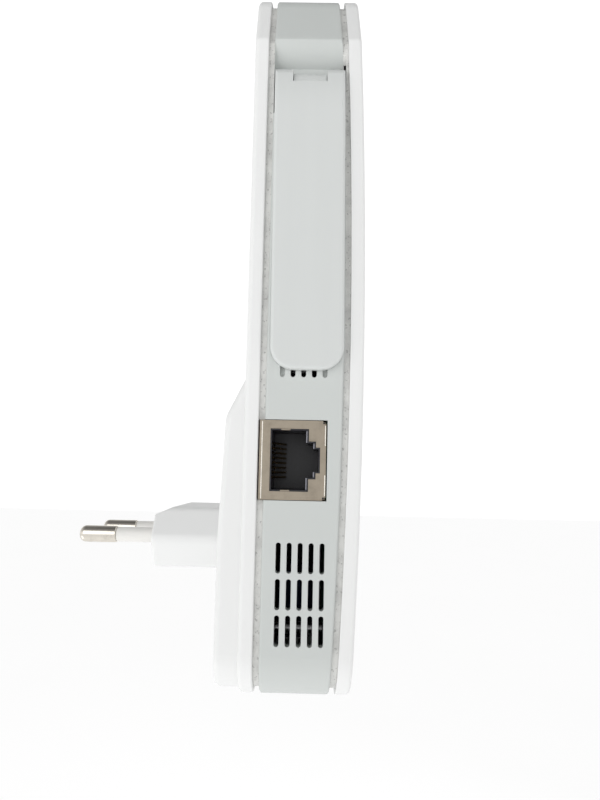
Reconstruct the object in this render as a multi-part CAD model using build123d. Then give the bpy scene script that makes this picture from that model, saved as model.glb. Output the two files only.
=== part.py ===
import os
from math import radians, sqrt, tan

from build123d import *

# Plug-in wifi range extender with two flip-out antennas, in millimetres.
# +Z is up, +Y is the way the plug pins point, and the front cover faces -Y.
# The origin is the middle of the flat face from which the two plug pins stand.

# ---- overall body ----
width = 78.0
bottom_z = -29.0
top_z = 123.8
crease_z = 108.9  # where the sides turn inwards into the sloping shoulders
shoulder_angle = 22.0  # from the vertical
bottom_corner_r = 9.0
crease_r = 2.0
top_corner_r = 7.0

# ---- depth, counted forwards from the front rim of the rear cover ----
rear_rim_y = -25.9
seam = 1.25  # width of each groove between the band and a cover
seam_depth = 1.2
band_depth = 17.15  # at the crown of the bowed front
bow_r = 1440.0
bow_z = 48.0
front_depth = 21.3
plate = 1.7  # thickness of the two covers' plates
rim_wall = 1.1  # wall of each cover where it laps over the frame
frame_wall = 2.4
edge_round = 0.5

# ---- rear cover ----
rear_plate_y = -22.9
hump_y = -18.0  # the face that stands against the wall socket
hump_inset = 1.0
ramp_top_z = 35.0  # the hump rises from the flat plate below this height
ramp_bend_z = 27.0
ramp_foot_z = 2.0
hump_round = 1.3

# ---- plug: flat two-pin type, 4 mm pins ----
boss_height = 14.0
boss_width = 35.4
boss_nose_chamfer = 5.0
pin_r = 2.0
pin_reach = 19.0
pin_spread = 18.6
sleeve_r = 1.8
sleeve_reach = 10.0
shank_r = 1.3  # pin inside its sleeve
shank_end_y = -24.5

# ---- side socket: shielded eight-way network jack ----
jack_y = (-26.2, -39.6)
jack_z = (10.35, 26.3)
jack_depth = 21.0
jack_sheet = 0.3
corner_cut = 0.65  # open corners at the front edge of its face
wire_r = 0.22
wire_pitch = 1.02

# ---- vents ----
slot_width = 1.0
slot_length = 6.0
slot_pitch_y = 2.17
slot_columns = 5
lower_vent_z = (-15.0, -8.05, -1.0)
upper_vent_z = (38.1,)

# ---- flip-out antennas ----
axle_x = 37.0
axle_z = 98.9
knuckle_r = 3.5
paddle_face_x = 41.0  # outer face of a folded antenna
paddle_seat_x = 39.15  # underside of its skirt, just clear of the band
paddle_width = 15.0
paddle_y = -34.95  # middle of the antenna at the axle
paddle_sway = 0.5  # the tip stands this much further forward, following the bow
paddle_tip_z = 36.5
paddle_tip_r = 4.8
nose_end_z = 92.6  # the nose runs out into the flat face here
insert_width = 11.0
insert_x = 35.6  # inner face of the part that drops into the frame
recess_tip_z = 43.5
lug_width = 7.0
notch_width = 7.3
lug_r = 2.6
axle_r = 1.5
axle_bore_r = 0.8
axle_length = 13.0

# ---- boards ----
board_thickness = 1.6
main_board_y = -39.65  # rear face, just behind it the network jack
power_board_y = -27.4
lead_r = 0.565
socket_x = 24.0  # small round sockets that the antenna leads plug into
socket_z = 88.0

fit_gap = 0.15


def front_y(depth, z=None):
    """Y of the bowed surface whose crown lies at this depth."""
    crown = rear_rim_y - depth
    if z is None:
        return crown
    radius = bow_r + depth
    return crown + radius - sqrt(radius ** 2 - (z - bow_z) ** 2)


def outline(inset=0.0):
    """Front view of the body: straight sides, sloping shoulders, rounded corners."""
    slope = tan(radians(shoulder_angle))
    half = width / 2 - inset
    crease = crease_z - inset * tan(radians(shoulder_angle / 2))
    top = top_z - inset
    foot = bottom_z + inset
    shoulder = half - (top - crease) * slope
    points = [(half, foot), (half, crease), (shoulder, top), (-shoulder, top), (-half, crease), (-half, foot)]
    face = make_face(Polyline(*points, close=True).edges())
    corners = face.vertices()
    feet = [v for v in corners if v.Y < foot + 1]
    face = fillet(feet, max(bottom_corner_r - inset, 1.0))
    creases = [v for v in face.vertices() if abs(v.Y - crease) < 0.01]
    face = fillet(creases, max(crease_r - inset, 0.5))
    tops = [v for v in face.vertices() if v.Y > top - 0.01]
    return fillet(tops, max(top_corner_r - inset, 1.0))


def slab(face, y_back, y_front):
    """A front-view face given thickness between two planes."""
    return extrude(Plane.XZ.offset(-y_back) * face, y_back - y_front)


def behind_bow(depth):
    """Everything behind the bowed surface at this depth."""
    reach = 90
    y_end = front_y(depth, bow_z + reach)
    low, high = bow_z - reach, bow_z + reach
    side = Polyline((y_end, low), (20, low), (20, high), (y_end, high))
    arc = ThreePointArc((y_end, high), (front_y(depth), bow_z), (y_end, low))
    face = make_face([*side.edges(), *arc.edges()])
    return extrude(Plane.YZ * face, 60, both=True)


def block(x, y, z):
    """A box between pairs of limits."""
    size = [abs(b - a) for a, b in (x, y, z)]
    middle = [(a + b) / 2 for a, b in (x, y, z)]
    return Pos(*middle) * Box(*size)


def rod(radius, start, end):
    """A round bar between two points."""
    a, b = Vector(*start), Vector(*end)
    return extrude(Plane(origin=a, z_dir=b - a) * Circle(radius), (b - a).length)


def mirrored(part):
    """The same part on the +X side."""
    return mirror(part, about=Plane.YZ)


def tube(radius, points, bends):
    """A round lead along straight runs joined by tangent arcs."""
    path = FilletPolyline(*points, radius=bends) if bends else Line(*points)
    start = Plane(origin=path @ 0, z_dir=path % 0)
    return sweep(start * Circle(radius), path=path)


def lip(inset, depth_back, depth_front):
    """A slab of the body outline between two bowed or flat depths."""
    return slab(outline(inset), rear_rim_y - depth_back, -60) & behind_bow(depth_front)


# ---- vents ----

def vent_slot(y, z, length=slot_length):
    """A round-ended slot cut through the band at the +X side."""
    plane = Plane(origin=(width / 2 + 5, y, z), x_dir=(0, 1, 0), z_dir=(1, 0, 0))
    return extrude(plane * SlotOverall(length, slot_width, rotation=90), -12)


def vent_columns():
    """Y of each column of slots, centred on the band."""
    middle = rear_rim_y - 8.9
    return [middle + slot_pitch_y * (i - (slot_columns - 1) / 2) for i in range(slot_columns)]


def lower_vents():
    """Three rows of five slots near the foot of one side."""
    return [vent_slot(y, z) for z in lower_vent_z for y in vent_columns()]


def upper_vents():
    """The row that the folded antenna half covers; only its middle slots go through."""
    return [vent_slot(y, z) for z in upper_vent_z for y in vent_columns()[1:-1]]


def blind_vents():
    """Shallow marks that finish the upper row at both ends."""
    depth = slab(outline(1.0), 0, -60)
    ends = (vent_columns()[0], vent_columns()[-1])
    return [vent_slot(y, z) - depth for z in upper_vent_z for y in ends]


# ---- middle frame ----

band_y = rear_rim_y - seam
lap = 1.1  # how far the frame's lips reach inside the covers
chamber_r = knuckle_r + 0.4
side_gap = 0.22
paddle_half = paddle_width / 2


def band_blank():
    """The visible band, with its long edges rounded."""
    band = slab(outline(), band_y, -60) & behind_bow(band_depth)
    back_edges = band.faces().sort_by(Axis.Y)[-1].edges()
    front_edges = band.faces().sort_by(Axis.Y)[0].edges()
    return fillet([*back_edges, *front_edges], edge_round)


def hinge_block():
    """Solid material inside the band behind one antenna."""
    upper = block((31.0, 37.5), (band_y, -42.2), (93.0, 111.0))
    lower = block((33.4, 37.5), (band_y - 1.0, -41.8), (recess_tip_z - 2.2, 94.0))
    return upper + lower


def antenna_room():
    """What is taken out of the band for one antenna: recess, hinge chamber, undercut."""
    half = insert_width / 2 + 0.8
    recess = block((insert_x - 0.35, 45), (paddle_y - half, paddle_y + half), (recess_tip_z, axle_z))
    reach = paddle_half + side_gap
    chamber = rod(chamber_r, (axle_x, paddle_y - reach, axle_z), (axle_x, paddle_y + reach, axle_z))
    mouth = block((axle_x, 45), (paddle_y - reach, paddle_y + reach), (axle_z - 6.4, axle_z + 1.0))
    neck = block((insert_x - 0.35, 45), (paddle_y - reach, paddle_y + reach), (92.0, axle_z))
    side = ThreePointArc((width / 2 + 0.02, crease_z), (37.95, 106.2), (36.0, 103.8))
    back = Polyline((36.0, 103.8), (35.2, 98.9), (45, 98.9), (45, crease_z), (width / 2 + 0.02, crease_z))
    face = make_face([*side.edges(), *back.edges()])
    undercut = extrude(Plane.XZ.offset(-(paddle_y + reach)) * face, 2 * reach)
    room = recess + chamber + mouth + neck + undercut
    return room & block((30, 50), (band_y + 0.01, paddle_y - paddle_half - side_gap), (0, 119))


def jack_hole():
    """Square opening through the side for the network jack."""
    z = (jack_z[0] - 0.12, jack_z[1] + 0.12)
    return block((-45, -35), (rear_rim_y - 0.02, jack_y[1] - 0.25), z)


button_y = -34.8
button_z = 14.5
button_half_length = 4.5
button_half_height = 2.2
reset_z = 25.5
reset_hole_r = 0.9


def button_face(extra):
    """Round-ended outline of the pairing button, seen from +X."""
    plane = Plane(origin=(30, button_y, button_z), x_dir=(0, 1, 0), z_dir=(1, 0, 0))
    length, height = 2 * (button_half_length + extra), 2 * (button_half_height + extra)
    return plane * SlotOverall(length, height, rotation=90)


screw_spots = [(-27.0, 84.0), (27.0, 84.0), (-27.0, -17.0), (27.0, -17.0)]
screw_r = 1.3
screw_tip_r = 0.98
screw_head_r = 2.5
screw_sink = 1.9  # depth of the heads' seats below the cover
screw_shoulder_y = -41.9


def make_middle_frame():
    """The grey band with the lips that the two covers fit over."""
    lips = lip(seam_depth, -lap, band_depth + seam + 0.9)
    frame = band_blank() + lips + (hinge_block() + mirrored(hinge_block()) & lips)
    hollow = slab(outline(frame_wall), 0, -60)
    hollow -= hinge_block() + mirrored(hinge_block())
    frame -= hollow
    frame -= antenna_room()
    frame -= mirrored(antenna_room())
    frame -= jack_hole()
    frame -= extrude(button_face(0.12), 12)
    frame -= rod(reset_hole_r, (30, button_y, reset_z), (45, button_y, reset_z))
    for slot in [*lower_vents(), *upper_vents(), *blind_vents()]:
        frame -= slot
        frame -= mirrored(slot)
    return frame


# ---- covers ----

def hump_solid(inset, sink):
    """The hump, drawn inwards by a wall's thickness where sink is given."""
    y_top = rear_plate_y - 2.0
    points = [(y_top, 39.0), (rear_plate_y - sink, ramp_top_z - sink / 3)]
    points += [(rear_rim_y + 6.9 - sink, ramp_bend_z - sink / 2), (hump_y - sink, ramp_foot_z)]
    points += [(hump_y - sink, -40.0), (y_top, -40.0)]
    face = make_face(Polyline(*points, close=True).edges())
    ramp_top = [v for v in face.vertices() if abs(v.Y - points[1][1]) < 0.01]
    face = fillet(ramp_top, 4.0)
    ramp_foot = [v for v in face.vertices() if abs(v.Y - points[2][1]) < 0.01]
    face = fillet(ramp_foot, 5.0)
    profile = extrude(Plane.YZ * face, 60, both=True)
    return profile & slab(outline(inset), 0, -60)


def make_rear_cover():
    """White rear cover: thin plate above, deep hump below."""
    tray = slab(outline(), rear_plate_y, rear_rim_y)
    tray = fillet(tray.faces().sort_by(Axis.Y)[-1].edges(), 1.0)
    tray = fillet(tray.faces().sort_by(Axis.Y)[0].edges(), 0.35)
    swell = hump_solid(hump_inset, 0.0)
    rim = [e for e in swell.faces().sort_by(Axis.Y)[-1].edges() if e.center().Z < 1.0]
    swell = fillet(rim, hump_round)
    cover = tray + swell
    cover -= slab(outline(rim_wall), rear_plate_y - plate, rear_rim_y - 5)
    cover -= hump_solid(hump_inset + 1.8, 1.8) & slab(outline(), 0, rear_plate_y - plate - 1)
    for x, z in screw_spots:
        cover += rear_post(x, z)
    for x, z in screw_spots:
        y = hump_y if z < 0 else rear_plate_y
        cover -= rod(screw_r + fit_gap, (x, y + 1, z), (x, -40, z))
        cover -= rod(screw_head_r + 0.2, (x, y + 1, z), (x, y - screw_sink, z))
    boss_hole = slab(boss_outline(0.1), hump_y + 1, hump_y - 5)
    return cover - boss_hole


def rear_post(x, z):
    """Screw post that stands forwards from the rear cover."""
    y = hump_y if z < 0 else rear_plate_y
    return rod(3.6, (x, y - 1.0, z), (x, -28.5, z))


def make_front_cover():
    """White bowed front cover."""
    blank = slab(outline(), -30, -60) & behind_bow(front_depth)
    blank -= behind_bow(band_depth + seam)
    blank = fillet(blank.faces().sort_by(Axis.Y)[0].edges(), 0.8)
    pocket = slab(outline(rim_wall), -30, -60) & behind_bow(front_depth - plate)
    cover = blank - pocket
    for x, z in screw_spots:
        post = rod(3.2, (x, front_y(front_depth), z), (x, -42.0, z)) & behind_bow(front_depth - 0.6)
        cover += post
    for x, z in screw_spots:
        cover -= rod(1.0, (x, -38, z), (x, front_y(front_depth) + 2.8, z))
    for z in indicator_z:
        cover -= slab(indicator_slot(z, 0.08), -30, -60)
    return cover


indicator_z = (92.0, 86.0, 80.0, 74.0)


def indicator_slot(z, extra=0.0):
    """Small round-ended window for one indicator."""
    return Pos(0, z) * SlotOverall(4.0 + 2 * extra, 1.2 + 2 * extra)


def make_screws():
    """Four screws from the rear cover into the front cover's posts."""
    screws = []
    for x, z in screw_spots:
        y = hump_y if z < 0 else rear_plate_y
        seat = y - screw_sink
        head = rod(screw_head_r, (x, seat + 1.6, z), (x, seat, z))
        shank = rod(screw_r, (x, seat, z), (x, screw_shoulder_y, z))
        tip = rod(screw_tip_r, (x, screw_shoulder_y, z), (x, screw_shoulder_y - 1.3, z))
        slot = block((x - 2, x + 2), (seat + 0.8, seat + 2), (z - 0.3, z + 0.3))
        cross = block((x - 0.3, x + 0.3), (seat + 0.8, seat + 2), (z - 2, z + 2))
        screws.append(head + shank + tip - slot - cross)
    return Compound(children=screws)


# ---- plug ----

def boss_outline(extra=0.0):
    """Flat six-sided plug outline: parallel top and bottom, pointed ends."""
    half_w, half_h = boss_width / 2 + extra, boss_height / 2 + extra
    flat = half_w - half_h * 0.62
    points = [(flat, half_h), (half_w, 0), (flat, -half_h), (-flat, -half_h), (-half_w, 0), (-flat, half_h)]
    face = make_face(Polyline(*points, close=True).edges())
    return fillet(face.vertices(), 2.2)


def make_plug_boss():
    """White plug body that reaches into the socket's well, with a flange inside the cover."""
    boss = slab(boss_outline(), 0, hump_y - 4)
    over = block((-30, 30), (1, -boss_nose_chamfer), (0, 12))
    low, high = boss_height / 2 - 2.0, boss_height / 2 + 0.45
    wedge = Plane.YZ * make_face(Polyline((0.5, low), (-4.9, high), (0.5, high), close=True).edges())
    boss -= extrude(wedge, 40, both=True) & over
    boss = fillet(boss.faces().sort_by(Axis.Y)[-1].edges(), 0.6)
    flange = slab(boss_outline(2.2), hump_y - 2.4, hump_y - 4)
    boss += flange
    for x in pin_places():
        boss -= rod(sleeve_r + 0.02, (x, 2, 0), (x, -25, 0))
    return boss


def pin_places():
    """X of the two pins."""
    return (-pin_spread / 2, pin_spread / 2)


def make_plug_pins():
    """Two metal pins: full 4 mm tips, thinner behind inside their sleeves."""
    pins = []
    for x in pin_places():
        tip = rod(pin_r, (x, sleeve_reach, 0), (x, pin_reach, 0))
        tip = fillet(tip.faces().sort_by(Axis.Y)[-1].edges(), 1.5)
        shank = rod(shank_r, (x, shank_end_y, 0), (x, sleeve_reach, 0))
        pins.append(tip + shank)
    return Compound(children=pins)


def make_pin_sleeves():
    """Insulating sleeves over the rear half of each pin."""
    sleeves = []
    for x in pin_places():
        sleeve = rod(sleeve_r, (x, -21.5, 0), (x, sleeve_reach - 0.02, 0))
        sleeves.append(sleeve - rod(shank_r + 0.02, (x, -22, 0), (x, sleeve_reach + 1, 0)))
    return Compound(children=sleeves)


def make_pin_contacts():
    """Two sprung strips that carry the mains from the pins to the power board."""
    strips = []
    for x in pin_places():
        strip = block((x - 2.5, x + 2.5), (-24.55, -24.95), (-3, 9))
        foot = block((x - 2.5, x + 2.5), (-24.55, power_board_y + 0.02), (8.6, 9.0))
        strips.append(strip + foot)
    return Compound(children=strips)


# ---- network jack ----

jack_face_x = -width / 2
jack_mid_z = (jack_z[0] + jack_z[1]) / 2
mouth_y = (-28.65, -35.85)  # main opening, from the contacts' side to the latch side
latch_steps = ((-37.3, 3.5), (-38.15, 2.3))  # how far each step of the latch way reaches, and its half height


def jack_mouth(x, extra, half=6.0):
    """The stepped opening that a network plug goes into."""
    z = jack_mid_z
    mouth = block(x, (mouth_y[0] + extra, mouth_y[1] - extra), (z - half - extra, z + half + extra))
    for y, step in latch_steps:
        mouth += block(x, (mouth_y[1] + 1, y - extra), (z - step - extra, z + step + extra))
    return mouth


def make_jack_shield():
    """Folded metal can around the jack, open at its face in the plug's shape."""
    outer = block((jack_face_x, jack_face_x + jack_depth), jack_y, jack_z)
    inner_y = (jack_y[0] - jack_sheet, jack_y[1] + jack_sheet)
    inner_z = (jack_z[0] + jack_sheet, jack_z[1] - jack_sheet)
    can = outer - block((jack_face_x + jack_sheet, 0), inner_y, inner_z)
    corner_x = (jack_face_x - 1, jack_face_x + 3.0)
    for z in jack_z:
        can -= block(corner_x, (jack_y[1] - 0.1, jack_y[1] + corner_cut), (z - corner_cut, z + corner_cut))
    return can - jack_mouth((jack_face_x - 1, jack_face_x + 2), 0.28)


def make_jack_insert():
    """Black plastic body inside the can."""
    y = (jack_y[0] - jack_sheet - 0.02, jack_y[1] + jack_sheet + 0.02)
    z = (jack_z[0] + jack_sheet + 0.02, jack_z[1] - jack_sheet - 0.02)
    body = block((jack_face_x + jack_sheet + 0.05, jack_face_x + jack_depth), y, z)
    body -= jack_mouth((jack_face_x - 1, jack_face_x + 14.5), 0.0)
    for i in range(8):
        zc = jack_mid_z + wire_pitch * (i - 3.5)
        groove_x = (jack_face_x + 1.5, jack_face_x + 16.2)
        body -= block(groove_x, (-27.45, mouth_y[0] - 0.1), (zc - 0.32, zc + 0.32))
    return body


def make_jack_contacts():
    """Eight sprung wires that lean into the jack's opening."""
    wires = []
    for i in range(8):
        z = jack_mid_z + wire_pitch * (i - 3.5)
        points = [(jack_face_x + 2.4, -28.1, z), (jack_face_x + 4.2, -28.1, z)]
        points.append((jack_face_x + 12.6, -31.1, z))
        wires.append(tube(wire_r, points, 0.6))
    return Compound(children=wires)


# ---- antennas, drawn at the +X side ----

lead_turn = 4.9  # where the lead leaves the axle, from the antenna's middle


def paddle_plan(half, tip_z, tip_r):
    """Side view of the antenna: long strip with a rounded tip that sways forwards."""
    top = 120.0
    lean = paddle_sway / (axle_z - paddle_tip_z)
    y_top, y_tip = paddle_y + lean * (top - axle_z), paddle_y - lean * (axle_z - tip_z)
    points = [(y_top + half, top), (y_tip + half, tip_z), (y_tip - half, tip_z), (y_top - half, top)]
    face = make_face(Polyline(*points, close=True).edges())
    face = fillet([v for v in face.vertices() if v.Y < tip_z + 1], tip_r)
    return extrude(Plane.YZ * face, 60)


def paddle_profile():
    """Front view of the antenna's cover: flat skirt, curved nose, round knuckle, neck."""
    nose_top = (40.172, 100.379)  # on the knuckle's circle
    nose = ThreePointArc((paddle_face_x, nose_end_z), (40.80, 96.6), nose_top)
    over = ThreePointArc(nose_top, (37.0, 102.4), (33.5, 98.9))
    under = ThreePointArc((33.5, 98.9), (34.2, 96.8), (insert_x, 95.69))
    rest = [(insert_x, 95.69), (insert_x, 92.2), (paddle_seat_x, 92.2)]
    rest += [(paddle_seat_x, 30), (paddle_face_x, 30), (paddle_face_x, nose_end_z)]
    face = make_face([*nose.edges(), *over.edges(), *under.edges(), *Polyline(*rest).edges()])
    return extrude(Plane.XZ.offset(10) * face, 60)


def lug_notch():
    """Room in the antenna for the fixed lug that it turns about."""
    y = (paddle_y - notch_width / 2, paddle_y + notch_width / 2)
    front = block((axle_x, 50), y, (axle_z - 0.65, 110))
    back = block((30, axle_x), y, (axle_z - 2.8, 110))
    round_room = rod(lug_r + 0.2, (axle_x, y[0], axle_z), (axle_x, y[1], axle_z))
    return front + back + round_room


def antenna_lead_points():
    """Coaxial lead inside the antenna: along the axle, then down to the element."""
    turn_y = paddle_y + lead_turn
    return [(axle_x, paddle_y, axle_z), (axle_x, turn_y, axle_z), (axle_x, turn_y, 88.5)]


def make_antenna_cover():
    """Outer half of an antenna with its two knuckles."""
    cover = paddle_profile() & paddle_plan(paddle_half, paddle_tip_z, paddle_tip_r)
    cover = fillet(cover.faces().sort_by(Axis.X)[-1].edges(), 0.7)
    cover -= lug_notch()
    half = axle_length / 2 + 0.05
    cover -= rod(axle_r + 0.05, (axle_x, paddle_y - half, axle_z), (axle_x, paddle_y + half, axle_z))
    cover -= tube(axle_bore_r, antenna_lead_points(), 1.0)
    return cover


def make_antenna_back():
    """Inner half of an antenna: a narrow tray that drops into the frame."""
    half = insert_width / 2
    plan = paddle_plan(half, recess_tip_z + 0.8, 3.0)
    tray = block((insert_x, paddle_seat_x - 0.02), (-60, 0), (0, 92.15)) & plan
    room = block((insert_x + 1.0, 45), (-60, 0), (0, 91.0)) & paddle_plan(half - 1.2, recess_tip_z + 2.0, 2.0)
    tray -= room
    y = paddle_y + lead_turn
    return tray - block((axle_x - 0.9, 45), (y - 0.7, y + 0.7), (88, 95))


def make_antenna_element():
    """Printed aerial board inside an antenna."""
    y = paddle_y - 0.25
    return block((37.5, 38.3), (y - 3.6, y + 3.6), (47.5, 87.5))


def make_antenna_tail():
    """Lead from the axle to the aerial board."""
    return tube(lead_r, antenna_lead_points(), 1.0)


def make_axle():
    """Hollow hinge pin, slotted where the lead enters and where it leaves."""
    half = axle_length / 2
    pin = rod(axle_r, (axle_x, paddle_y - half, axle_z), (axle_x, paddle_y + half, axle_z))
    pin -= rod(axle_bore_r, (axle_x, paddle_y - half - 1, axle_z), (axle_x, paddle_y + half + 1, axle_z))
    pin -= rod(axle_bore_r, (axle_x - 5, paddle_y, axle_z), (axle_x, paddle_y, axle_z))
    turn_y = paddle_y + lead_turn
    return pin - block((axle_x - 0.85, axle_x + 3), (turn_y - 1.9, turn_y + 0.75), (axle_z - 3, axle_z + 3))


def make_hinge_lug():
    """Fixed lug between the two knuckles, keyed into the hinge block."""
    y = (paddle_y - lug_width / 2, paddle_y + lug_width / 2)
    lug = rod(lug_r, (axle_x, y[0], axle_z), (axle_x, y[1], axle_z))
    lug += block((29.6, axle_x), y, (axle_z - 2.4, axle_z + 1.6))
    lug += block((29.6, 30.95), (y[0] - 0.9, y[1] + 0.9), (axle_z - 4, axle_z + 3.2))
    lug -= rod(axle_r + 0.005, (axle_x, y[0] - 1, axle_z), (axle_x, y[1] + 1, axle_z))
    return lug - rod(0.75, (25, paddle_y, axle_z), (axle_x, paddle_y, axle_z))


def lug_slot():
    """Slot through the hinge block for the lug's tail."""
    y = (paddle_y - lug_width / 2 - 0.05, paddle_y + lug_width / 2 + 0.05)
    return block((25, axle_x), y, (axle_z - 2.45, axle_z + 1.65))


def make_feed_lead():
    """Coaxial lead from the board's socket to the hollow axle."""
    end = (axle_x - lead_r - 0.03, paddle_y, axle_z)
    points = [(socket_x, main_board_y + 1.7, socket_z), (socket_x, paddle_y - 0.7, 90.0)]
    points += [(26.6, paddle_y, axle_z), end]
    return tube(lead_r, points, 2.0)


# ---- buttons at the +X side ----

def make_pair_button():
    """Oval pairing button with a collar behind the wall and a stem to its switch."""
    cap = extrude(button_face(0.0), 9.35)
    cap = fillet(cap.faces().sort_by(Axis.X)[-1].edges(), 0.3)
    cap &= block((34.9, 45), (-60, 0), (0, 60))
    collar = extrude(button_face(0.9), 6.4) & block((35.4, 36.45), (-60, 0), (0, 60))
    return cap + collar


def make_pair_plunger():
    """Plunger of the pairing switch."""
    return rod(1.2, (33.4, button_y, button_z), (34.88, button_y, button_z))


def make_reset_plunger():
    """Plunger of the reset switch, reached through a pinhole."""
    return rod(1.2, (33.4, button_y, reset_z), (35.6, button_y, reset_z))


def switch_body(z):
    """Side-acting tactile switch standing on the main board."""
    body = block((29.5, 34.0), (main_board_y + 0.02, button_y + 2.4), (z - 3.0, z + 3.0))
    return body - rod(1.25, (32.2, button_y, z), (40, button_y, z))


def make_switches():
    """The two tactile switches."""
    return Compound(children=[switch_body(button_z), switch_body(reset_z)])


# ---- main board ----

board_front_y = main_board_y - board_thickness


def make_main_board():
    """Main circuit board: wide at the foot, narrower between the antennas."""
    board = block((-36.0, 36.0), (main_board_y, board_front_y), (-22.5, 31.0))
    board += block((-30.5, 30.5), (main_board_y, board_front_y), (31.0, 111.0))
    for x, z in screw_spots:
        board -= rod(3.6, (x, -30, z), (x, -50, z))
    return board


def make_heat_sink():
    """Finned heat spreader over the processor."""
    base = block((-14, 14), (-36.6, -35.4), (44, 72))
    for i in range(8):
        z = 44.0 + 3.86 * i
        base += block((-14, 14), (-35.5, -30.2), (z, z + 1.0))
    return base


def make_radio_shields():
    """Two pressed cans over the radio sections."""
    cans = []
    for x in (-12.0, 12.0):
        outer = block((x - 9.5, x + 9.5), (main_board_y + 0.02, main_board_y + 2.4), (78.0, 98.0))
        inner = block((x - 9.2, x + 9.2), (main_board_y - 1, main_board_y + 2.1), (78.3, 97.7))
        cans.append(outer - inner)
    return Compound(children=cans)


def make_lead_sockets():
    """Small round coaxial sockets where the antenna leads plug in."""
    sockets = []
    for x in (-socket_x, socket_x):
        sockets.append(rod(1.5, (x, main_board_y + 0.02, socket_z), (x, main_board_y + 1.1, socket_z)))
    return Compound(children=sockets)


def make_indicators():
    """Four surface-mounted indicator lamps on the front of the board."""
    y = (board_front_y - 0.02, board_front_y - 0.8)
    return Compound(children=[block((-1, 1), y, (z - 0.5, z + 0.5)) for z in indicator_z])


def make_light_guide():
    """Clear strip that carries the lamps' light to the front windows."""
    guide = block((-4.5, 4.5), (board_front_y - 0.9, -44.6), (70.0, 96.0))
    for z in indicator_z:
        guide += slab(indicator_slot(z), -44.5, -60) & behind_bow(front_depth - 0.05)
    return guide


# ---- power board ----

power_front_y = power_board_y - board_thickness


def make_power_board():
    """Mains power board behind the main board."""
    board = block((-16.0, 34.0), (power_board_y, power_front_y), (-24.0, 26.0))
    for x, z in screw_spots[2:]:
        board -= rod(4.2, (x, 0, z), (x, -50, z))
    return board


def make_transformer():
    """Switching transformer: split core around a wound former."""
    core = block((6, 22), (power_front_y - 0.02, power_front_y - 9.6), (-12, 4))
    core -= block((8.5, 19.5), (0, -60), (-9.5, 1.5))
    core += block((11.5, 16.5), (power_front_y - 2.2, power_front_y - 7.4), (-12, 4))
    return core


def make_transformer_winding():
    """Taped winding inside the transformer's core."""
    outer = block((8.6, 19.4), (power_front_y - 0.6, power_front_y - 9.0), (-9.4, 1.4))
    return outer - block((11.45, 16.55), (power_front_y - 2.15, power_front_y - 7.45), (-20, 10))


def can_capacitor(radius, x, z_low, length):
    """Round capacitor lying along the board."""
    y = power_front_y - radius - 0.05
    can = rod(radius, (x, y, z_low), (x, y, z_low + length))
    return fillet(can.edges().filter_by(GeomType.CIRCLE), 0.5)


def make_mains_capacitors():
    """Two high-voltage reservoir capacitors."""
    return Compound(children=[can_capacitor(4.4, x, -22.0, 15.0) for x in (-10.5, -1.0)])


def make_output_capacitors():
    """Two low-voltage output capacitors."""
    return Compound(children=[can_capacitor(3.1, x, 8.0, 11.0) for x in (17.5, 25.0)])


def make_choke():
    """Ring-shaped line filter choke."""
    y = power_front_y
    ring = rod(5.0, (-8, y - 0.02, 3), (-8, y - 6.0, 3)) - rod(2.2, (-8, 0, 3), (-8, -60, 3))
    return fillet(ring.edges().filter_by(GeomType.CIRCLE), 0.8)


def make_fuse():
    """Small mains fuse in a shrink sleeve."""
    y = power_front_y - 1.9
    return rod(1.8, (1.5, y, 13.0), (12.0, y, 13.0))


def make_chips():
    """Named chips: each a low box standing on a board."""
    rear, front = main_board_y + 0.02, power_front_y - 0.02
    chips = {}
    chips["processor"] = block((-8, 8), (rear, -37.9), (50, 66))
    chips["thermal_pad"] = block((-8, 8), (-37.88, -36.62), (50, 66))
    chips["memory_chip"] = block((-6, 6), (rear, rear + 1.1), (34, 43))
    chips["network_transformer"] = block((-15, -7), (rear, rear + 5.2), (11, 25))
    chips["bridge_rectifier"] = block((-2, 4), (front, front - 2.4), (17.5, 23.5))
    chips["power_controller"] = block((8, 13), (front, front - 1.6), (20, 24))
    chips["board_link"] = block((24, 34), (front, main_board_y + 0.02), (-10, -7.5))
    chips["insulation_sheet"] = block((-14, 22), (-39.2, -39.5), (-24, 9))
    return chips


# ---- writing the parts ----

def fixed_parts():
    """Every piece that stays with the housing."""
    frame = make_middle_frame()
    for slot in (lug_slot(), mirrored(lug_slot())):
        frame -= slot
    parts = {"middle_frame": frame, "rear_cover": make_rear_cover(), "front_cover": make_front_cover()}
    parts["cover_screws"] = make_screws()
    parts["plug_boss"] = make_plug_boss()
    parts["plug_pins"] = make_plug_pins()
    parts["pin_sleeves"] = make_pin_sleeves()
    parts["pin_contacts"] = make_pin_contacts()
    parts["jack_shield"] = make_jack_shield()
    parts["jack_insert"] = make_jack_insert()
    parts["jack_contacts"] = make_jack_contacts()
    parts["tactile_switches"] = make_switches()
    parts["main_board"] = make_main_board()
    parts["heat_sink"] = make_heat_sink()
    parts["radio_shields"] = make_radio_shields()
    parts["lead_sockets"] = make_lead_sockets()
    parts["indicator_lamps"] = make_indicators()
    parts["light_guide"] = make_light_guide()
    parts["power_board"] = make_power_board()
    parts["transformer_core"] = make_transformer()
    parts["transformer_winding"] = make_transformer_winding()
    parts["mains_capacitors"] = make_mains_capacitors()
    parts["output_capacitors"] = make_output_capacitors()
    parts["filter_choke"] = make_choke()
    parts["mains_fuse"] = make_fuse()
    return {**parts, **make_chips()}


def paired_parts():
    """Every piece that comes once for each antenna, drawn at the +X side."""
    parts = {"hinge_lug": make_hinge_lug(), "hinge_pin": make_axle(), "feed_lead": make_feed_lead()}
    parts["antenna_cover"] = make_antenna_cover()
    parts["antenna_back"] = make_antenna_back()
    parts["antenna_element"] = make_antenna_element()
    parts["antenna_tail"] = make_antenna_tail()
    return parts


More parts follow.
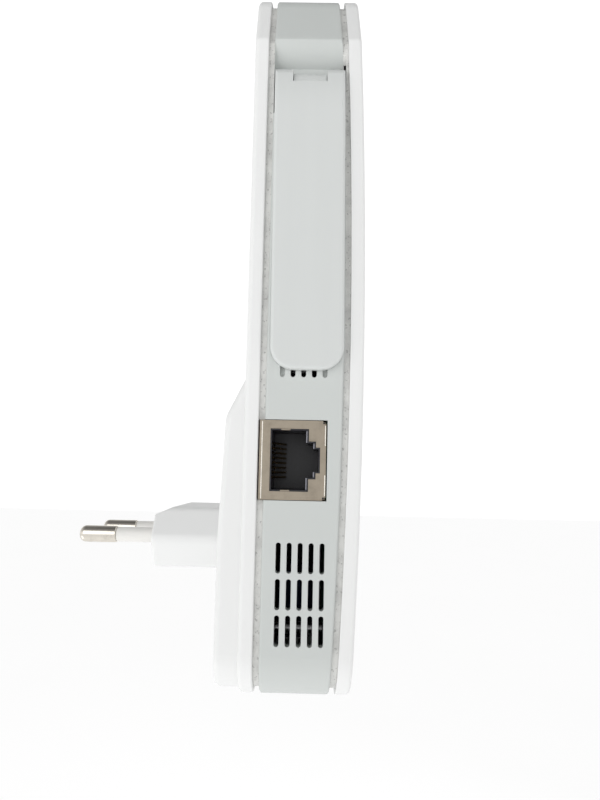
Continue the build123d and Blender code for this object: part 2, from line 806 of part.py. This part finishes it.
def main():
    """Write one STEP file for each piece."""
    os.makedirs("parts", exist_ok=True)
    pieces = fixed_parts()
    for name, piece in paired_parts().items():
        pieces[f"right_{name}"] = piece
        pieces[f"left_{name}"] = mirrored(piece)
    pieces["pair_button"] = make_pair_button()
    pieces["pair_plunger"] = make_pair_plunger()
    pieces["reset_plunger"] = make_reset_plunger()
    for name, piece in pieces.items():
        export_step(piece, f"parts/{name}.step")


main()
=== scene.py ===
from math import cos, pi, radians, sin

import bmesh
import bpy
from mathutils import Matrix, Vector


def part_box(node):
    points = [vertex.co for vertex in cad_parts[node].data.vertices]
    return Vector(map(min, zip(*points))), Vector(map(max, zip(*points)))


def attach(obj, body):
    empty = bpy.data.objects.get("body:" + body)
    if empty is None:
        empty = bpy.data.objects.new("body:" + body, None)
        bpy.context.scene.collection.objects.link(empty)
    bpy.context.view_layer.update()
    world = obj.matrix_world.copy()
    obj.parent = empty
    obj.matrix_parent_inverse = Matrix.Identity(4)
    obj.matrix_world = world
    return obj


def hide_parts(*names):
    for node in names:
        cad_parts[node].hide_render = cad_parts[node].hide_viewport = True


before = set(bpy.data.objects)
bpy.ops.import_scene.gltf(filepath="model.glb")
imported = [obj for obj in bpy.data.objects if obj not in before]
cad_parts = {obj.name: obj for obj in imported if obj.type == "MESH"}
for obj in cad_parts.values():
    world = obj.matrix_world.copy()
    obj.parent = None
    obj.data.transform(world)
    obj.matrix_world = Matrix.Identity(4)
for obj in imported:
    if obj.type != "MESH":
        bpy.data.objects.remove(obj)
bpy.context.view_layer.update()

bl_info = {
    "name": "Wifi range extender",
    "version": (1, 0, 0),
    "blender": (4, 5, 0),
    "location": "3D View > Sidebar > Extender",
    "description": "Finishes the moulded housing, antennas, plug and socket of a plug-in wifi range extender",
    "category": "Object",
}

MM = 0.001

# Places read from the frame, in metres.
FRAME_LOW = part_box("middle_frame")[0]
JACK_LOW, JACK_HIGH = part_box("jack_shield")
PINS_LOW, PINS_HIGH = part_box("plug_pins")
SLEEVE_LOW, SLEEVE_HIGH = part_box("pin_sleeves")

REAR_RIM_Y = -25.9 * MM
SEAM = 1.25 * MM
BOW_R = 1440 * MM
BOW_Z = 48 * MM
BAND_FRONT = (17.12 * MM, 17.3 * MM)  # where the band's front edge gives way to the groove
PIN_NECK_R = 1.3 * MM  # pin inside its sleeve
SLEEVE_BORE_R = 1.32 * MM
SLEEVE_LIP = 0.15 * MM
FLOOR_DROP = 0.35  # the floor lies this far below the foot
FLOOR_REACH = 6.0
GRAIN_SCALE = 5200.0  # spark-eroded grain of the moulds


# ---- shader maths ----

class Value:
    """A number or a socket that adds Math nodes when it is used in an expression."""

    def __init__(self, shader, socket):
        self.shader = shader
        self.socket = socket

    def _math(self, operation, a, b):
        return self.shader.node("ShaderNodeMath", {"operation": operation}, {0: a, 1: b}).value()

    def __add__(self, other):
        return self._math("ADD", self, other)

    __radd__ = __add__

    def __mul__(self, other):
        return self._math("MULTIPLY", self, other)

    __rmul__ = __mul__

    def __sub__(self, other):
        return self._math("SUBTRACT", self, other)

    def __rsub__(self, other):
        return self._math("SUBTRACT", other, self)

    def __truediv__(self, other):
        return self._math("DIVIDE", self, other)

    def clamped(self):
        return self.shader.node("ShaderNodeClamp", {}, {"Value": self}).value()

    def ramp(self, low, high):
        """0 at low, 1 at high, and steady beyond both."""
        node = self.shader.node("ShaderNodeMapRange", {"interpolation_type": "SMOOTHSTEP"},
                                {"Value": self, "From Min": low, "From Max": high})
        return node.value()


class Node:
    """One added node, with its outputs as values."""

    def __init__(self, shader, node):
        self.shader = shader
        self.node = node

    def value(self, name=0):
        return Value(self.shader, self.node.outputs[name])


class Shader:
    """Builds one material around a Principled shader."""

    def __init__(self, name):
        self.material = bpy.data.materials.new(name)
        self.material.use_nodes = True
        self.tree = self.material.node_tree
        self.tree.nodes.clear()
        self.output = self.tree.nodes.new("ShaderNodeOutputMaterial")
        self.surface = self.tree.nodes.new("ShaderNodeBsdfPrincipled")
        self.tree.links.new(self.surface.outputs[0], self.output.inputs[0])
        self.place = self.node("ShaderNodeTexCoord", {}, {}).value("Object")
        self.axes = self.node("ShaderNodeSeparateXYZ", {}, {0: self.place})

    def node(self, kind, settings, inputs):
        """Add a node: its settings first, then its sockets."""
        node = self.tree.nodes.new(kind)
        for key, setting in settings.items():
            setattr(node, key, setting)
        for key, given in inputs.items():
            self.put(node.inputs[key], given)
        return Node(self, node)

    def put(self, socket, given):
        if isinstance(given, Value):
            self.tree.links.new(given.socket, socket)
        else:
            socket.default_value = given

    def set(self, **inputs):
        """Set the Principled shader's sockets, underscores standing for spaces."""
        for key, given in inputs.items():
            self.put(self.surface.inputs[key.replace("_", " ")], given)
        return self

    def noise(self, scale, detail=2.0, roughness=0.5, place=None):
        inputs = {"Vector": place or self.place, "Scale": scale, "Detail": detail, "Roughness": roughness}
        return self.node("ShaderNodeTexNoise", {}, inputs).value(0)

    def stretched(self, x, y, z):
        """Object coordinates stretched along the axes."""
        return self.node("ShaderNodeMapping", {}, {"Vector": self.place, "Scale": (x, y, z)}).value()

    def mix(self, factor, a, b):
        """A colour between a and b."""
        node = self.node("ShaderNodeMix", {"data_type": "RGBA"}, {0: factor})
        self.put(node.node.inputs[6], a)
        self.put(node.node.inputs[7], b)
        return node.value(2)

    def bump(self, height, strength, distance):
        inputs = {"Height": height, "Strength": strength, "Distance": distance}
        normal = self.node("ShaderNodeBump", {}, inputs).value()
        self.put(self.surface.inputs["Normal"], normal)

    @property
    def x(self):
        return self.axes.value("X")

    @property
    def y(self):
        return self.axes.value("Y")

    @property
    def z(self):
        return self.axes.value("Z")


def rgba(colour, gain=1.0):
    return tuple(channel * gain for channel in colour[:3]) + (1.0,)


def moulded(name, colour, grain=0.35, roughness=0.42):
    """Satin moulded plastic: spark-eroded grain, slight tone drift, rubbed patches."""
    shader = Shader(name)
    drift = shader.noise(38.0, 3.0)
    tone = shader.mix(drift.ramp(0.3, 0.7), rgba(colour, 0.985), rgba(colour, 1.0))
    handling = shader.noise(220.0, 4.0, 0.6).ramp(0.35, 0.75)
    shader.set(Base_Color=tone, Roughness=roughness + 0.08 * handling)
    shader.set(Specular_IOR_Level=0.42, IOR=1.49)
    fine = shader.noise(GRAIN_SCALE, 2.0)
    shader.bump(fine, grain * 0.35, 0.00004)
    return shader


def bowed_seam(shader):
    """How far forward of the rear cover's rim a point lies, with the front's bow taken out."""
    lift = (shader.z - BOW_Z) * (shader.z - BOW_Z) / (2 * BOW_R)
    return REAR_RIM_Y - shader.y + lift


def band_plastic(settings):
    """Grey band: as moulded, with its own grey mottle and sparse dark specks in the two grooves beside it."""
    colour = settings.band_colour
    shader = moulded("band plastic", colour)
    rear = (shader.y - (REAR_RIM_Y - SEAM)).ramp(-0.00008, 0.00012)
    front = bowed_seam(shader).ramp(*BAND_FRONT)
    groove = (rear + front).clamped()
    # The two grooves get a separate grey mottle with sparse dark specks.
    specks = shader.noise(1500.0, 2.0, 0.6).ramp(0.6, 0.68)
    smear = shader.noise(210.0, 4.0, 0.65).ramp(0.35, 0.75)
    mottle = shader.mix(smear, rgba(settings.groove_colour, 1.1), rgba(settings.groove_colour, 0.82))
    specked = shader.mix(specks * 0.55, mottle, rgba(settings.groove_colour, 0.42))
    drift = shader.noise(38.0, 3.0).ramp(0.3, 0.7)
    clean = shader.mix(drift, rgba(colour, 0.98), rgba(colour))
    shader.set(Base_Color=shader.mix(groove, clean, specked))
    return shader.material


def shell_plastic(settings):
    """White covers, with faint warm-grey marks scattered over them."""
    shader = moulded("cover plastic", settings.cover_colour, 0.3, 0.38)
    marks = shader.noise(700.0, 3.0, 0.6).ramp(0.72, 0.8)
    drift = shader.noise(30.0, 3.0).ramp(0.3, 0.7)
    clean = shader.mix(drift, rgba(settings.cover_colour, 0.985), rgba(settings.cover_colour))
    shader.set(Base_Color=shader.mix(marks * 0.06, clean, (0.45, 0.44, 0.42, 1.0)))
    return shader.material


def paddle_plastic(settings):
    """Antenna plastic, with faint flow lines from its gate by the hinge."""
    shader = moulded("antenna plastic", settings.antenna_colour)
    flow = shader.noise(1.0, 3.0, 0.5, shader.stretched(90, 420, 26)).ramp(0.3, 0.7)
    colour = settings.antenna_colour
    shader.set(Base_Color=shader.mix(flow, rgba(colour, 0.988), rgba(colour)))
    return shader.material


def metal(name, colour, roughness, brushed=0.0, stretch=(60, 60, 2500)):
    """Plated or tinned metal with fine draw marks and slight tarnish."""
    shader = Shader(name)
    marks = shader.noise(1.0, 4.0, 0.6, shader.stretched(*stretch))
    tarnish = shader.noise(420.0, 4.0, 0.65).ramp(0.4, 0.8)
    shader.set(Base_Color=shader.mix(tarnish, rgba(colour), rgba(colour, 0.82)))
    shader.set(Metallic=1.0, Roughness=roughness + 0.12 * tarnish)
    shader.bump(marks, 0.12 + brushed, 0.00003)
    return shader.material


def gloss(name, colour, roughness=0.3, speck=0.02):
    """Shiny or satin dark plastic with a faint grain."""
    shader = Shader(name)
    grain = shader.noise(3000.0, 2.0)
    shader.set(Base_Color=shader.mix(grain.ramp(0.3, 0.7), rgba(colour, 0.9), rgba(colour, 1.1)))
    shader.set(Roughness=roughness + speck * grain)
    shader.bump(grain, 0.15, 0.00003)
    return shader.material


def board(name, colour, trace):
    """Circuit board: solder mask over faint copper runs."""
    shader = Shader(name)
    brick = shader.node("ShaderNodeTexVoronoi", {"distance": "MANHATTAN"},
                        {"Vector": shader.stretched(1, 0.01, 1), "Scale": 420.0}).value(0)
    runs = brick.ramp(0.22, 0.3)
    shader.set(Base_Color=shader.mix(runs, rgba(trace), rgba(colour)))
    shader.set(Roughness=0.3 + 0.15 * runs)
    shader.bump(runs, 0.3, 0.00004)
    return shader.material


def clear_strip():
    """Translucent light guide."""
    shader = Shader("light guide")
    haze = shader.noise(900.0, 2.0)
    shader.set(Base_Color=shader.mix(haze.ramp(0.3, 0.7), (0.72, 0.75, 0.77, 1.0), (0.84, 0.86, 0.87, 1.0)))
    shader.set(Roughness=0.25 + 0.1 * haze, Transmission_Weight=0.35, IOR=1.49)
    return shader.material


def sleeve_plastic():
    """Insulating sleeve: creamier and shinier than the covers."""
    shader = moulded("sleeve plastic", (0.80, 0.79, 0.76), 0.2, 0.3)
    rub = shader.noise(1.0, 4.0, 0.6, shader.stretched(900, 60, 900)).ramp(0.55, 0.75)
    shader.set(Base_Color=shader.mix(rub * 0.4, (0.82, 0.81, 0.78, 1.0), (0.66, 0.64, 0.6, 1.0)))
    return shader.material


# ---- mesh helpers ----

def finish_mesh(bm, name, material, body, nodes=()):
    """Turn a bmesh into a piece that rides on a body and stands for CAD nodes."""
    bmesh.ops.remove_doubles(bm, verts=bm.verts, dist=0.000001)
    bmesh.ops.recalc_face_normals(bm, faces=bm.faces)
    mesh = bpy.data.meshes.new(name)
    bm.to_mesh(mesh)
    bm.free()
    piece = bpy.data.objects.new(name, mesh)
    bpy.context.scene.collection.objects.link(piece)
    piece.data.materials.append(material)
    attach(piece, body)
    if nodes:
        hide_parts(*nodes)
    return piece


def shade_smooth(piece, angle=35):
    """Smooth faces that meet at less than the angle."""
    for polygon in piece.data.polygons:
        polygon.use_smooth = True
    mesh = piece.data
    bm = bmesh.new()
    bm.from_mesh(mesh)
    for edge in bm.edges:
        edge.smooth = not (len(edge.link_faces) == 2 and edge.calc_face_angle(0) > radians(angle))
    bm.to_mesh(mesh)
    bm.free()


def turned(bm, profile, centre, steps=48):
    """Spin a closed profile of (radius, along Y) points about a line parallel to Y."""
    verts = [bm.verts.new((centre[0] + r, y, centre[2])) for r, y in profile]
    edges = [bm.edges.new((a, b)) for a, b in zip(verts, verts[1:])]
    bmesh.ops.spin(bm, geom=verts + edges, cent=centre, axis=(0, 1, 0), angle=2 * pi, steps=steps,
                   use_merge=True)


def rounded_box(bm, low, high, radius, segments=3):
    """A box between two corners with its edges bevelled."""
    size = [b - a for a, b in zip(low, high)]
    middle = [(a + b) / 2 for a, b in zip(low, high)]
    matrix = Matrix.Translation(middle) @ Matrix.Diagonal((*size, 1.0))
    made = bmesh.ops.create_cube(bm, size=1.0, matrix=matrix)
    edges = {e for v in made["verts"] for e in v.link_edges}
    bmesh.ops.bevel(bm, geom=list(edges), offset=radius, affect="EDGES", segments=segments, profile=0.5,
                    material=-1)


def dome(y_end, radius, corner, steps=8):
    """Rounded end of a pin, from its side to its axis."""
    points = []
    for i in range(steps + 1):
        turn = radians(90 * i / steps)
        points.append((radius - corner + corner * cos(turn), y_end - corner + corner * sin(turn)))
    return points + [(0.0, y_end)]


# Walls across the latch side of the socket's mouth, in millimetres: how far in front of the
# socket's rear edge each one lies, and its reach above and below the middle.
MOUTH_STEPS = ((9.62, 3.55, 5.9), (11.07, 2.35, 3.4))

# ---- settings ----

class ExtenderSettings(bpy.types.PropertyGroup):
    """Colours and small sizes of the extender's finish."""
    cover_colour: bpy.props.FloatVectorProperty(
        name="Covers", description="Colour of the two outer covers and the plug", subtype="COLOR",
        default=(0.84, 0.845, 0.84), min=0, max=1)
    band_colour: bpy.props.FloatVectorProperty(
        name="Band", description="Colour of the band between the covers", subtype="COLOR",
        default=(0.60, 0.625, 0.61), min=0, max=1)
    antenna_colour: bpy.props.FloatVectorProperty(
        name="Antennas", description="Colour of the two flip-out antennas", subtype="COLOR",
        default=(0.66, 0.68, 0.67), min=0, max=1)
    groove_colour: bpy.props.FloatVectorProperty(
        name="Groove dust", description="Colour of the dust in the grooves", subtype="COLOR",
        default=(0.74, 0.74, 0.72), min=0, max=1)
    pin_corner: bpy.props.FloatProperty(
        name="Pin tip rounding", description="Radius at the tip of each plug pin", unit="LENGTH",
        default=1.5 * MM, min=0.0002, max=0.0019)
    light_power: bpy.props.FloatProperty(
        name="Light", description="Power of the soft studio lights", default=1.0, min=0, max=10)
    backdrop: bpy.props.FloatVectorProperty(
        name="Backdrop", description="Colour of the pale floor and surroundings", subtype="COLOR",
        default=(0.93, 0.93, 0.93), min=0, max=1)


def settings():
    return bpy.context.scene.extender_settings


def paint(material, *nodes):
    """Give CAD nodes one material."""
    for name in nodes:
        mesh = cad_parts[name].data
        mesh.materials.clear()
        mesh.materials.append(material)


# ---- pieces ----

class EXTENDER_OT_housing(bpy.types.Operator):
    """Finish the two covers, the band, the hinge lugs and the pairing button"""
    bl_idname = "extender.housing"
    bl_label = "Housing"

    def execute(self, context):
        values = settings()
        paint(shell_plastic(values), "rear_cover", "front_cover", "plug_boss")
        paint(band_plastic(values), "middle_frame")
        paddle = paddle_plastic(values)
        paint(paddle, "left_hinge_lug", "right_hinge_lug", "pair_button")
        for side in ("left", "right"):
            paint(paddle, f"{side}_antenna_cover", f"{side}_antenna_back")
        paint(clear_strip(), "light_guide", "insulation_sheet", "indicator_lamps")
        return {"FINISHED"}


class EXTENDER_OT_plug(bpy.types.Operator):
    """Turn the two plug pins and their insulating sleeves"""
    bl_idname = "extender.plug"
    bl_label = "Plug pins"

    def execute(self, context):
        pin_r = (PINS_HIGH[2] - PINS_LOW[2]) / 2
        centre_x = PINS_HIGH[0] - pin_r
        plating = metal("pin plating", (0.72, 0.68, 0.61), 0.13, 0.0, (60, 2500, 60))
        self.make_pins(centre_x, pin_r, plating)
        self.make_sleeves(centre_x)
        paint(metal("strip bronze", (0.72, 0.52, 0.30), 0.3), "pin_contacts")
        return {"FINISHED"}

    def make_pins(self, centre_x, pin_r, plating):
        joint_y = SLEEVE_HIGH[1] + 0.00002
        neck = PIN_NECK_R
        bm = bmesh.new()
        for x in (-centre_x, centre_x):
            profile = [(0.0, PINS_LOW[1]), (neck, PINS_LOW[1]), (neck, joint_y), (pin_r - 0.0002, joint_y)]
            profile += [(pin_r, joint_y + 0.0002)] + dome(PINS_HIGH[1], pin_r, settings().pin_corner)
            turned(bm, profile, (x, 0, 0))
        piece = finish_mesh(bm, "turned_plug_pins", plating, "housing", ["plug_pins"])
        shade_smooth(piece)

    def make_sleeves(self, centre_x):
        radius = (SLEEVE_HIGH[2] - SLEEVE_LOW[2]) / 2
        bm = bmesh.new()
        for x in (-centre_x, centre_x):
            low, high = SLEEVE_LOW[1], SLEEVE_HIGH[1]
            profile = [(SLEEVE_BORE_R, low), (radius, low), (radius, high - SLEEVE_LIP)]
            profile += [(radius - SLEEVE_LIP, high), (SLEEVE_BORE_R, high), (SLEEVE_BORE_R, low)]
            turned(bm, profile, (x, 0, 0))
        piece = finish_mesh(bm, "turned_pin_sleeves", sleeve_plastic(), "housing",
                            ["pin_sleeves"])
        shade_smooth(piece)


class EXTENDER_OT_socket(bpy.types.Operator):
    """Finish the network socket and add its folded edges and earthing fingers"""
    bl_idname = "extender.socket"
    bl_label = "Network socket"

    def execute(self, context):
        # Painted shade: the tin sheet is coloured at about half its brightness, far darker than the folds of
        # the same sheet.
        shaded_tin = metal("tin with painted shade", (0.345, 0.30, 0.24), 0.34, 0.05, (60, 1200, 60))
        # Painted highlight: the folds of the same tin sheet are coloured pale and bright.
        highlight_tin = metal("folded edge", (0.86, 0.82, 0.75), 0.26)
        # Painted highlight: the edge of the black insert is coloured bluish grey, far lighter than the
        # insert.
        rim = gloss("socket rim painted highlight", (0.27, 0.27, 0.31), 0.3)
        paint(shaded_tin, "jack_shield", "radio_shields")
        paint(gloss("socket plastic", (0.018, 0.018, 0.024), 0.35), "jack_insert")
        paint(metal("gold wire", (0.80, 0.58, 0.26), 0.22), "jack_contacts", "lead_sockets")
        self.make_folds(highlight_tin)
        self.make_fingers(shaded_tin)
        self.make_rim(rim)
        return {"FINISHED"}

    def make_folds(self, highlight_tin):
        """Rounded upright folds at both edges of the socket's face, coloured far lighter than the rest of the
        tin as a painted highlight.
        """
        x = JACK_LOW[0]
        depth, reach = 0.25 * MM, 0.19 * MM
        middle = (JACK_LOW[2] + JACK_HIGH[2]) / 2
        half = (JACK_HIGH[2] - JACK_LOW[2]) / 2
        spans = [(JACK_HIGH[1] - 0.6 * MM, middle - half + 0.2 * MM, middle + half - 0.2 * MM)]
        spans += [(JACK_LOW[1] + 0.06 * MM, middle - half + 0.9 * MM, middle - 2.9 * MM)]
        spans += [(JACK_LOW[1] + 0.06 * MM, middle + 2.9 * MM, middle + half - 0.9 * MM)]
        bm = bmesh.new()
        for y, low, high in spans:
            rounded_box(bm, (x - 0.04 * MM, y, low), (x + depth, y + reach, high), 0.06 * MM)
        finish_mesh(bm, "socket_folds", highlight_tin, "housing")

    def make_rim(self, rim):
        """Thin plastic edge that shows inside the latch side of the mouth, coloured bluish grey as a painted
        highlight on the black insert.
        """
        middle = (JACK_LOW[2] + JACK_HIGH[2]) / 2
        front, thick = JACK_LOW[0] + 0.32 * MM, 0.22 * MM
        bm = bmesh.new()
        for sign in (-1, 1):
            for y, near, far in MOUTH_STEPS:
                low, high = sorted((middle + sign * near * MM, middle + sign * far * MM))
                edge = JACK_HIGH[1] - y * MM
                rounded_box(bm, (front, edge, low), (front + 1.1 * MM, edge + thick, high), 0.05 * MM)
        finish_mesh(bm, "socket_rim", rim, "housing")

    def make_fingers(self, shaded_tin):
        """Small sprung fingers bent into the mouth above and below."""
        middle = (JACK_LOW[2] + JACK_HIGH[2]) / 2
        bm = bmesh.new()
        for sign in (-1, 1):
            edge = middle + sign * 6.28 * MM
            tip = edge - sign * 0.32 * MM
            low, high = sorted((edge, tip))
            y = JACK_HIGH[1] - 6.2 * MM
            rounded_box(bm, (JACK_LOW[0] + 0.05 * MM, y, low), (JACK_LOW[0] + 1.6 * MM, y + 1.9 * MM, high),
                        0.1 * MM)
        finish_mesh(bm, "socket_fingers", shaded_tin, "housing")


class EXTENDER_OT_hardware(bpy.types.Operator):
    """Finish screws, hinge pins, leads and the boards inside"""
    bl_idname = "extender.hardware"
    bl_label = "Hardware and boards"

    def execute(self, context):
        steel = metal("screw steel", (0.55, 0.55, 0.56), 0.28)
        paint(steel, "cover_screws", "left_hinge_pin", "right_hinge_pin")
        jacket = gloss("lead jacket", (0.05, 0.05, 0.055), 0.35)
        green = board("signal board", (0.03, 0.16, 0.08), (0.07, 0.27, 0.13))
        for side in ("left", "right"):
            paint(jacket, f"{side}_feed_lead", f"{side}_antenna_tail")
            paint(green, f"{side}_antenna_element")
        paint(green, "main_board")
        paint(board("mains board", (0.30, 0.22, 0.09), (0.42, 0.32, 0.14)), "power_board")
        epoxy = gloss("chip epoxy", (0.025, 0.025, 0.028), 0.5)
        paint(epoxy, "processor", "memory_chip", "network_transformer", "bridge_rectifier",
              "power_controller")
        paint(gloss("switch plastic", (0.03, 0.03, 0.03), 0.4), "tactile_switches", "pair_plunger",
              "reset_plunger", "board_link", "mains_fuse")
        paint(gloss("ferrite", (0.07, 0.07, 0.075), 0.6), "transformer_core", "filter_choke")
        paint(gloss("winding tape", (0.72, 0.50, 0.06), 0.3), "transformer_winding")
        paint(gloss("capacitor sleeve", (0.03, 0.04, 0.09), 0.3), "mains_capacitors", "output_capacitors")
        paint(gloss("thermal pad", (0.30, 0.42, 0.55), 0.7), "thermal_pad")
        paint(metal("extruded aluminium", (0.78, 0.79, 0.80), 0.35, 0.1), "heat_sink")
        return {"FINISHED"}


# ---- stage ----

CAMERA_PLACE = Vector((-169.9, -35.9, 16.0)) * MM
CAMERA_PITCH = radians(6.30)
CAMERA_YAW = radians(-0.76)
CAMERA_ROLL = radians(1.20)
CAMERA_LENS = 29.26
HORIZON = 1.12  # brightness of the surroundings level with the floor
ZENITH = 0.10  # overhead, as a share of that
FLOOR_GLOW = 0.58


class EXTENDER_OT_stage(bpy.types.Operator):
    """Set the pale floor, soft lights and camera"""
    bl_idname = "extender.stage"
    bl_label = "Stage"

    def execute(self, context):
        self.make_floor()
        self.make_world()
        power = settings().light_power
        self.make_light("key", (-0.42, 0.24, 0.17), 0.4, 0.46 * power)
        self.make_light("low fill", (-0.10, 0.35, -0.28), 0.3, 0.18 * power)
        self.make_light("far side fill", (0.45, -0.45, 0.20), 0.5, 0.5 * power)
        self.make_camera(context)
        context.scene.view_settings.view_transform = "Standard"
        return {"FINISHED"}

    def make_floor(self):
        bm = bmesh.new()
        bmesh.ops.create_grid(bm, x_segments=8, y_segments=8, size=FLOOR_REACH,
                              matrix=Matrix.Translation((0, 0, FRAME_LOW[2] - FLOOR_DROP)))
        mesh = bpy.data.meshes.new("pale_floor")
        bm.to_mesh(mesh)
        bm.free()
        floor = bpy.data.objects.new("pale_floor", mesh)
        bpy.context.scene.collection.objects.link(floor)
        shader = Shader("floor paint")
        drift = shader.noise(3.0, 2.0).ramp(0.3, 0.7)
        shade = settings().backdrop
        tone = shader.mix(drift, rgba(shade, 0.99), rgba(shade))
        shader.set(Base_Color=tone, Roughness=0.85 + 0.05 * drift)
        shader.set(Specular_IOR_Level=0.0, Emission_Color=rgba(shade), Emission_Strength=FLOOR_GLOW)
        floor.data.materials.append(shader.material)

    def make_world(self):
        world = bpy.data.worlds.new("studio")
        bpy.context.scene.world = world
        world.use_nodes = True
        tree = world.node_tree
        place = tree.nodes.new("ShaderNodeTexCoord")
        axes = tree.nodes.new("ShaderNodeSeparateXYZ")
        ramp = tree.nodes.new("ShaderNodeValToRGB")
        ramp.color_ramp.elements[0].position = 0.05
        ramp.color_ramp.elements[0].color = (1.0, 1.0, 1.0, 1.0)
        ramp.color_ramp.elements[1].color = (ZENITH, ZENITH, ZENITH, 1.0)
        tree.links.new(place.outputs["Generated"], axes.inputs[0])
        tree.links.new(axes.outputs["Z"], ramp.inputs[0])
        seen = tree.nodes.new("ShaderNodeLightPath")
        blend = tree.nodes.new("ShaderNodeMix")
        blend.data_type = "RGBA"
        tree.links.new(seen.outputs["Is Camera Ray"], blend.inputs[0])
        tree.links.new(ramp.outputs[0], blend.inputs[6])
        blend.inputs[7].default_value = (1.0, 1.0, 1.0, 1.0)
        tree.links.new(blend.outputs[2], tree.nodes["Background"].inputs["Color"])
        tree.nodes["Background"].inputs["Strength"].default_value = HORIZON

    def make_light(self, name, place, size, power):
        data = bpy.data.lights.new(name, "AREA")
        data.shape = "DISK"
        data.size = size
        data.energy = power
        lamp = bpy.data.objects.new(name, data)
        lamp.location = place
        aim = Vector((0, -0.03, 0.045)) - Vector(place)
        lamp.rotation_euler = aim.to_track_quat("-Z", "Y").to_euler()
        bpy.context.scene.collection.objects.link(lamp)

    def make_camera(self, context):
        data = bpy.data.cameras.new("camera")
        data.lens = CAMERA_LENS
        data.sensor_width = 36.0
        data.clip_start = 0.01
        camera = bpy.data.objects.new("camera", data)
        forward = Vector((cos(CAMERA_PITCH) * cos(CAMERA_YAW), -cos(CAMERA_PITCH) * sin(CAMERA_YAW),
                          sin(CAMERA_PITCH)))
        right = Vector((-sin(CAMERA_YAW), -cos(CAMERA_YAW), 0.0))
        up = right.cross(forward)
        tilt = Matrix.Rotation(-CAMERA_ROLL, 3, forward)
        right, up = tilt @ right, tilt @ up
        turn = Matrix((right, up, -forward)).transposed()
        camera.matrix_world = Matrix.Translation(CAMERA_PLACE) @ turn.to_4x4()
        context.scene.collection.objects.link(camera)
        context.scene.camera = camera


class EXTENDER_PT_panel(bpy.types.Panel):
    """Extender's pieces and settings"""
    bl_idname = "EXTENDER_PT_panel"
    bl_label = "Range extender"
    bl_space_type = "VIEW_3D"
    bl_region_type = "UI"
    bl_category = "Extender"

    def draw(self, context):
        for operator in OPERATORS:
            self.layout.operator(operator.bl_idname)
        values = context.scene.extender_settings
        for name in ("cover_colour", "band_colour", "antenna_colour", "groove_colour", "pin_corner",
                     "light_power", "backdrop"):
            self.layout.prop(values, name)


OPERATORS = (EXTENDER_OT_stage, EXTENDER_OT_housing, EXTENDER_OT_plug, EXTENDER_OT_socket,
             EXTENDER_OT_hardware)
CLASSES = (ExtenderSettings, *OPERATORS, EXTENDER_PT_panel)


def register():
    for cls in CLASSES:
        bpy.utils.register_class(cls)
    bpy.types.Scene.extender_settings = bpy.props.PointerProperty(type=ExtenderSettings)


def unregister():
    del bpy.types.Scene.extender_settings
    for cls in reversed(CLASSES):
        bpy.utils.unregister_class(cls)


def main():
    register()
    bpy.ops.extender.stage()
    bpy.ops.extender.housing()
    bpy.ops.extender.plug()
    bpy.ops.extender.socket()
    bpy.ops.extender.hardware()


if __name__ == "__main__":
    main()
